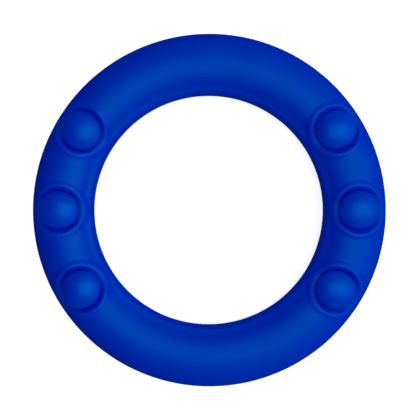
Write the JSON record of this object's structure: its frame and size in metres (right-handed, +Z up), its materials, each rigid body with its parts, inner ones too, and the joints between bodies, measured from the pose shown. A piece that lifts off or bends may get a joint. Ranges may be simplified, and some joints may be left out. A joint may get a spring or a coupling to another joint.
{
  "type": "stress relief squeeze ring",
  "caption": "Round silicone ring to squeeze in one hand, with round press-in domes on two opposite sides of its front face.",
  "frame": {"origin": "middle of the hand hole, on the surface that the ring lies on", "axes": "+Z up along the ring's axis, out of the face with the domes; +X towards the right-hand domes; +Y towards the upper end"},
  "size_m": [0.088, 0.088, 0.0169],
  "materials": {
    "shell_silicone": "matt moulded silicone",
    "dome_silicone": "matt moulded silicone",
    "web_silicone": "thin matt silicone",
    "seat_plastic": "fine moulded grain",
    "core_foam": "open-cell foam"
  },
  "bodies": {
    "ring": {"front_shell": "shell_silicone", "rear_shell": "shell_silicone", "foam_core": "core_foam", "dome_web_left_upper": "web_silicone", "dome_web_left_middle": "web_silicone", "dome_web_left_lower": "web_silicone", "dome_web_right_upper": "web_silicone", "dome_web_right_middle": "web_silicone", "dome_web_right_lower": "web_silicone", "dome_seat_left_upper": "seat_plastic", "dome_seat_left_middle": "seat_plastic", "dome_seat_left_lower": "seat_plastic", "dome_seat_right_upper": "seat_plastic", "dome_seat_right_middle": "seat_plastic", "dome_seat_right_lower": "seat_plastic"},
    "dome_left_upper": {"dome_cap_left_upper": "dome_silicone"},
    "dome_left_middle": {"dome_cap_left_middle": "dome_silicone"},
    "dome_left_lower": {"dome_cap_left_lower": "dome_silicone"},
    "dome_right_upper": {"dome_cap_right_upper": "dome_silicone"},
    "dome_right_middle": {"dome_cap_right_middle": "dome_silicone"},
    "dome_right_lower": {"dome_cap_right_lower": "dome_silicone"}
  },
  "joints": [
    {"name": "press_left_upper", "type": "slide", "parent": "ring", "child": "dome_left_upper", "axis": [0, 0, -1], "range_m": [0, 0.003], "stiffness_N_per_m": 700, "springref_m": -0.0008, "deforming": ["dome_web_left_upper"]},
    {"name": "press_left_middle", "type": "slide", "parent": "ring", "child": "dome_left_middle", "axis": [0, 0, -1], "range_m": [0, 0.003], "stiffness_N_per_m": 700, "springref_m": -0.0008, "deforming": ["dome_web_left_middle"]},
    {"name": "press_left_lower", "type": "slide", "parent": "ring", "child": "dome_left_lower", "axis": [0, 0, -1], "range_m": [0, 0.003], "stiffness_N_per_m": 700, "springref_m": -0.0008, "deforming": ["dome_web_left_lower"]},
    {"name": "press_right_upper", "type": "slide", "parent": "ring", "child": "dome_right_upper", "axis": [0, 0, -1], "range_m": [0, 0.003], "stiffness_N_per_m": 700, "springref_m": -0.0008, "deforming": ["dome_web_right_upper"]},
    {"name": "press_right_middle", "type": "slide", "parent": "ring", "child": "dome_right_middle", "axis": [0, 0, -1], "range_m": [0, 0.003], "stiffness_N_per_m": 700, "springref_m": -0.0008, "deforming": ["dome_web_right_middle"]},
    {"name": "press_right_lower", "type": "slide", "parent": "ring", "child": "dome_right_lower", "axis": [0, 0, -1], "range_m": [0, 0.003], "stiffness_N_per_m": 700, "springref_m": -0.0008, "deforming": ["dome_web_right_lower"]}
  ]
}
